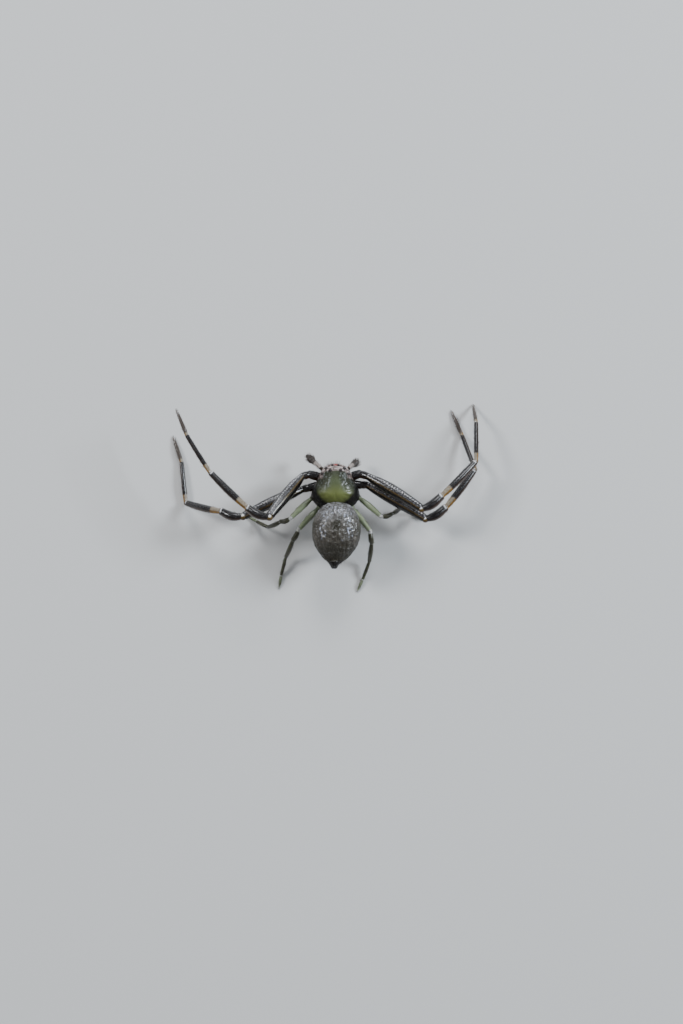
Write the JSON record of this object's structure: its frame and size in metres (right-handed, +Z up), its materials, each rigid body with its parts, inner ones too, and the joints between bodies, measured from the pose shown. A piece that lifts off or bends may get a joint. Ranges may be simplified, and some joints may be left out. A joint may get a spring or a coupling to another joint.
{
  "type": "crab spider",
  "caption": "Life-size still model of a male flower crab spider with dark banded front legs, pale rear legs and a pointed egg-shaped abdomen.",
  "frame": {"origin": "middle of the bounding box, at the level of the floor that the feet stand on", "axes": "+Z up, +Y the way the spider faces, +X its right side"},
  "size_m": [0.01, 0.0062, 0.0023],
  "materials": {
    "carapace": "glossy olive cuticle with black flanks",
    "abdomen": "glossy wrinkled grey-brown skin",
    "dark_leg": "glossy near-black cuticle with amber seams and pale bands",
    "pale_leg": "translucent pale green cuticle",
    "mouthparts": "satin grey-brown cuticle",
    "eye": "polished black lens"
  },
  "bodies": {
    "root": {"abdomen": "abdomen", "cephalothorax": "carapace", "chelicera_left": "mouthparts", "chelicera_right": "mouthparts", "endite_left": "mouthparts", "endite_right": "mouthparts", "eye_lateral_front_left": "eye", "eye_lateral_front_right": "eye", "eye_lateral_rear_left": "eye", "eye_lateral_rear_right": "eye", "eye_median_front_left": "eye", "eye_median_front_right": "eye", "eye_median_rear_left": "eye", "eye_median_rear_right": "eye", "labium": "mouthparts", "leg_1_left_femur": "dark_leg", "leg_1_left_tarsus": "dark_leg", "leg_1_left_tibia": "dark_leg", "leg_1_right_femur": "dark_leg", "leg_1_right_tarsus": "dark_leg", "leg_1_right_tibia": "dark_leg", "leg_2_left_femur": "dark_leg", "leg_2_left_tarsus": "dark_leg", "leg_2_left_tibia": "dark_leg", "leg_2_right_femur": "dark_leg", "leg_2_right_tarsus": "dark_leg", "leg_2_right_tibia": "dark_leg", "leg_3_left_femur": "pale_leg", "leg_3_left_tarsus": "pale_leg", "leg_3_left_tibia": "pale_leg", "leg_3_right_femur": "pale_leg", "leg_3_right_tarsus": "pale_leg", "leg_3_right_tibia": "pale_leg", "leg_4_left_femur": "pale_leg", "leg_4_left_tarsus": "pale_leg", "leg_4_left_tibia": "pale_leg", "leg_4_right_femur": "pale_leg", "leg_4_right_tarsus": "pale_leg", "leg_4_right_tibia": "pale_leg", "pedipalp_left": "mouthparts", "pedipalp_right": "mouthparts", "spinnerets": "abdomen"}
  },
  "joints": []
}
